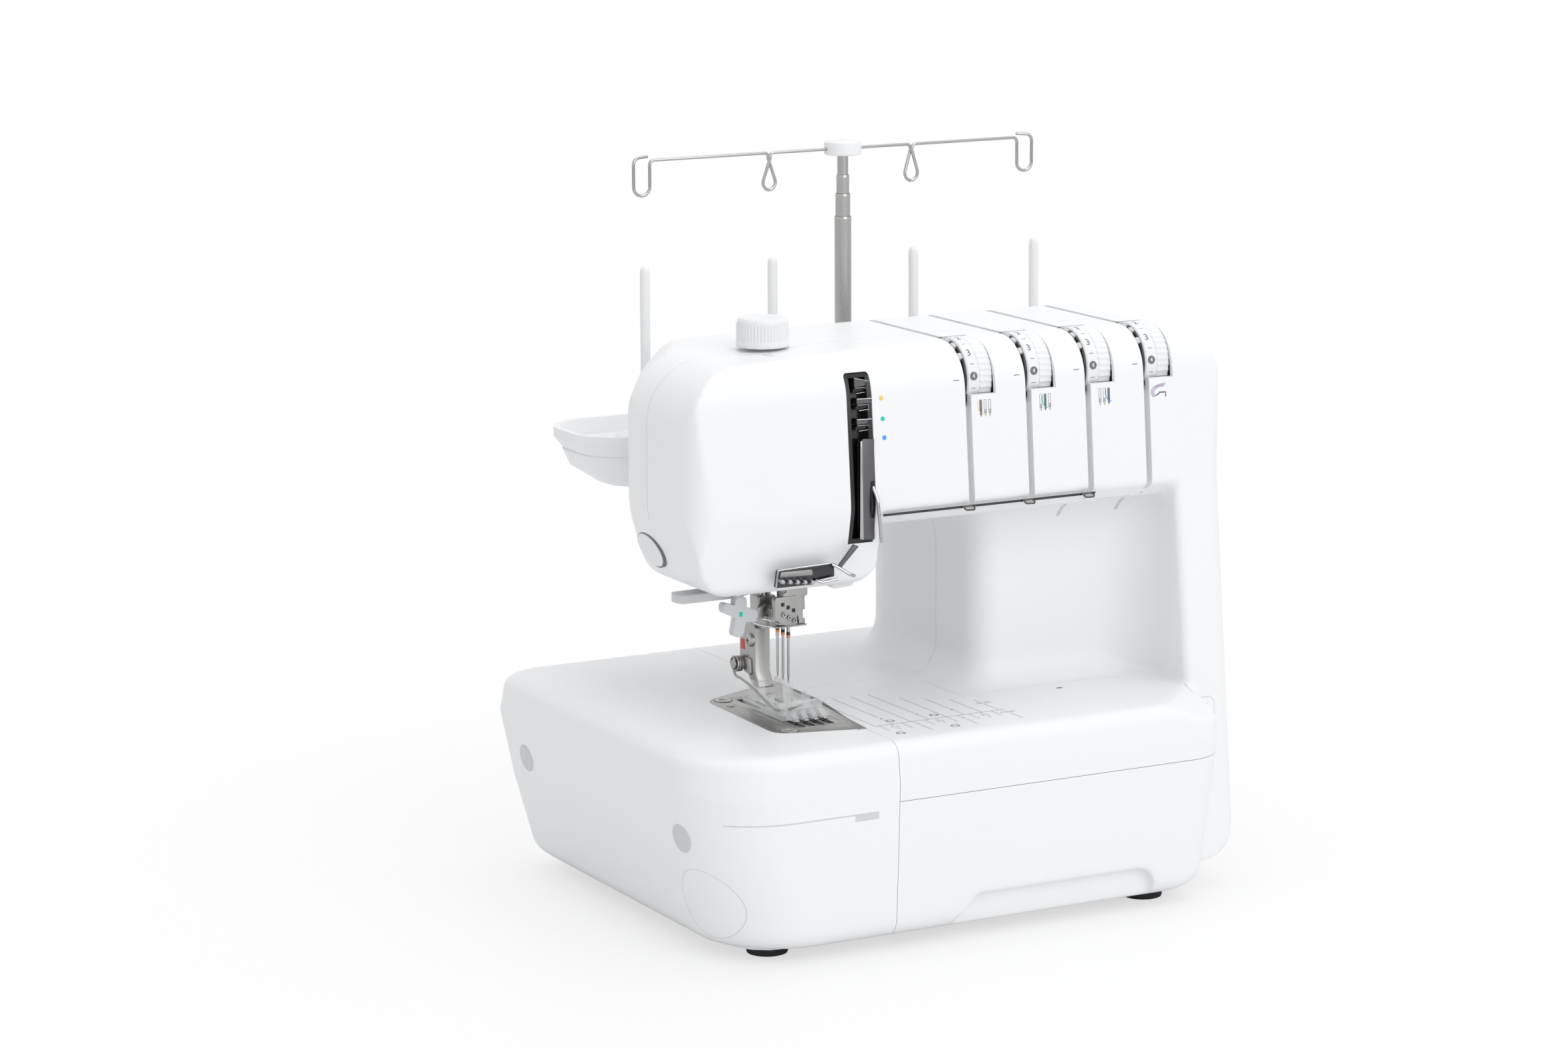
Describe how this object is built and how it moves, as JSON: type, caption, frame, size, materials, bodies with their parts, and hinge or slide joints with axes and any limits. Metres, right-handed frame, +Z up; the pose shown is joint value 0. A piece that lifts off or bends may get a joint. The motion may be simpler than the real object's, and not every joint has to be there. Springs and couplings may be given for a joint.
{
  "type": "serger overlock machine",
  "caption": "Domestic coverstitch serger: needle head and arm on a wide bed, tension dials on the arm, spool tray and telescopic thread mast behind.",
  "frame": {"origin": "on the ground under the middle of the bounding box of the whole machine", "axes": "+X to the operator's right, -Y towards the operator, +Z up"},
  "size_m": [0.334, 0.245, 0.3705],
  "materials": {
    "shell": "satin moulded white, fine grain",
    "trim": "satin moulded light grey-white",
    "grey": "satin moulded light grey",
    "steel": "brushed",
    "polished_steel": "polished",
    "dark": "gloss black",
    "clear": "clear moulded plastic",
    "rubber": "matt black",
    "cast": "as cast",
    "belt": "matt black"
  },
  "bodies": {
    "machine": {"front_shell": "shell", "rear_shell": "shell", "bed_cover": "shell", "base_tray": "trim", "foot_front_left": "rubber", "foot_front_right": "rubber", "foot_rear_left": "rubber", "foot_rear_right": "rubber", "frame_casting": "cast", "motor": "cast", "timing_belt": "belt", "drive_belt": "belt", "stitch_plate": "steel", "lamp_cover": "clear", "dial_axle": "steel", "thread_channel": "polished_steel", "needle_thread_guide": "polished_steel", "thread_strip": "polished_steel", "power_inlet": "dark", "spool_tray": "shell", "spool_pin_1": "trim", "spool_pin_2": "trim", "spool_pin_3": "trim", "spool_pin_4": "trim", "mast_base_tube": "steel"},
    "main_shaft": {"main_shaft": "steel", "handwheel": "trim"},
    "motor_rotor": {"motor_pulley": "steel"},
    "upper_shaft": {"upper_shaft": "steel"},
    "needle_bar": {"needle_bar": "steel", "needle_clamp": "steel", "needle_left": "polished_steel", "needle_middle": "polished_steel", "needle_right": "polished_steel"},
    "presser_bar": {"presser_bar": "steel", "foot_shank": "steel", "foot_spring": "steel"},
    "presser_foot": {"presser_foot": "clear"},
    "lifter_lever": {"lifter_lever": "grey"},
    "threader": {"threader": "grey"},
    "pressure_knob": {"pressure_knob": "trim"},
    "looper": {"looper": "steel", "looper_shaft": "steel"},
    "feed_dog": {"feed_dog": "steel"},
    "left_cover": {"left_cover": "shell"},
    "front_cover": {"front_cover": "shell"},
    "stitch_length_dial": {"stitch_length_dial": "trim"},
    "differential_dial": {"differential_dial": "trim"},
    "power_switch": {"power_switch": "dark"},
    "mast_middle": {"mast_middle_tube": "steel"},
    "mast_upper": {"mast_upper_tube": "steel"},
    "mast_top": {"mast_top_tube": "steel"},
    "guide_bar": {"guide_bar": "steel"},
    "tension_dial_1": {"tension_dial_1": "trim"},
    "tension_dial_2": {"tension_dial_2": "trim"},
    "tension_dial_3": {"tension_dial_3": "trim"},
    "tension_dial_4": {"tension_dial_4": "trim"}
  },
  "joints": [
    {"name": "handwheel_turn", "type": "hinge", "parent": "machine", "child": "main_shaft", "pos_m": [0.15, 0.014, 0.06], "axis": [1, 0, 0], "continuous": true},
    {"name": "motor_spin", "type": "hinge", "parent": "machine", "child": "motor_rotor", "pos_m": [0.13, 0.066, 0.038], "axis": [1, 0, 0], "continuous": true},
    {"name": "upper_shaft_turn", "type": "hinge", "parent": "machine", "child": "upper_shaft", "pos_m": [0.1, -0.006, 0.224], "axis": [1, 0, 0], "continuous": true},
    {"name": "needle_bar_stroke", "type": "slide", "parent": "machine", "child": "needle_bar", "axis": [0, 0, 1], "range_m": [-0.028, 0]},
    {"name": "presser_bar_lift", "type": "slide", "parent": "machine", "child": "presser_bar", "axis": [0, 0, 1], "range_m": [0, 0.008]},
    {"name": "presser_foot_tilt", "type": "hinge", "parent": "presser_bar", "child": "presser_foot", "pos_m": [-0.0832, -0.0267, 0.1169], "axis": [1, 0, 0], "range_deg": [-2, 0]},
    {"name": "lifter_swing", "type": "hinge", "parent": "machine", "child": "lifter_lever", "pos_m": [-0.0965, -0.026, 0.18], "axis": [0, 1, 0], "range_deg": [0, 6]},
    {"name": "threader_drop", "type": "slide", "parent": "machine", "child": "threader", "axis": [0, 0, 1], "range_m": [-0.022, 0]},
    {"name": "pressure_knob_turn", "type": "hinge", "parent": "machine", "child": "pressure_knob", "pos_m": [-0.0832, -0.0215, 0.29], "axis": [0, 0, 1], "range_deg": [-180, 180]},
    {"name": "looper_swing", "type": "hinge", "parent": "machine", "child": "looper", "pos_m": [-0.066, -0.02, 0.05], "axis": [0, 1, 0], "range_deg": [-10, 4]},
    {"name": "feed_dog_travel", "type": "slide", "parent": "machine", "child": "feed_dog", "axis": [0, 1, 0], "range_m": [-0.002, 0.002]},
    {"name": "left_cover_pull", "type": "slide", "parent": "machine", "child": "left_cover", "axis": [-1, 0, 0], "range_m": [0, 0.08]},
    {"name": "front_cover_drop", "type": "hinge", "parent": "machine", "child": "front_cover", "pos_m": [0, -0.113, 0.009], "axis": [1, 0, 0], "range_deg": [0, 75]},
    {"name": "stitch_length_turn", "type": "hinge", "parent": "machine", "child": "stitch_length_dial", "pos_m": [0.155, -0.02, 0.15], "axis": [1, 0, 0], "range_deg": [-135, 135]},
    {"name": "differential_turn", "type": "hinge", "parent": "machine", "child": "differential_dial", "pos_m": [0.155, 0.046, 0.15], "axis": [1, 0, 0], "range_deg": [-135, 135]},
    {"name": "power_switch_rock", "type": "hinge", "parent": "machine", "child": "power_switch", "pos_m": [0.149, 0.078, 0.084], "axis": [0, 1, 0], "range_deg": [-4, 4]},
    {"name": "tension_dial_1_turn", "type": "hinge", "parent": "machine", "child": "tension_dial_1", "pos_m": [0.01275, -0.0483, 0.2657], "axis": [1, 0, 0], "range_deg": [-150, 150]},
    {"name": "tension_dial_2_turn", "type": "hinge", "parent": "machine", "child": "tension_dial_2", "pos_m": [0.04715, -0.0483, 0.2657], "axis": [1, 0, 0], "range_deg": [-150, 150]},
    {"name": "tension_dial_3_turn", "type": "hinge", "parent": "machine", "child": "tension_dial_3", "pos_m": [0.08155, -0.0483, 0.2657], "axis": [1, 0, 0], "range_deg": [-150, 150]},
    {"name": "tension_dial_4_turn", "type": "hinge", "parent": "machine", "child": "tension_dial_4", "pos_m": [0.11595, -0.0483, 0.2657], "axis": [1, 0, 0], "range_deg": [-150, 150]},
    {"name": "mast_middle_slide", "type": "slide", "parent": "machine", "child": "mast_middle", "axis": [0, 0, 1], "range_m": [0, 0.08]},
    {"name": "mast_upper_slide", "type": "slide", "parent": "mast_middle", "child": "mast_upper", "axis": [0, 0, 1], "range_m": [0, 0.08]},
    {"name": "mast_top_slide", "type": "slide", "parent": "mast_upper", "child": "mast_top", "axis": [0, 0, 1], "range_m": [0, 0.08]},
    {"name": "guide_bar_turn", "type": "hinge", "parent": "mast_top", "child": "guide_bar", "pos_m": [0.0132, 0.071, 0.3668], "axis": [0, 0, 1], "range_deg": [-90, 90]}
  ],
  "couplings": [
    {"joint": "motor_spin", "follows": "handwheel_turn", "ratio": 3},
    {"joint": "upper_shaft_turn", "follows": "handwheel_turn", "ratio": 1}
  ]
}
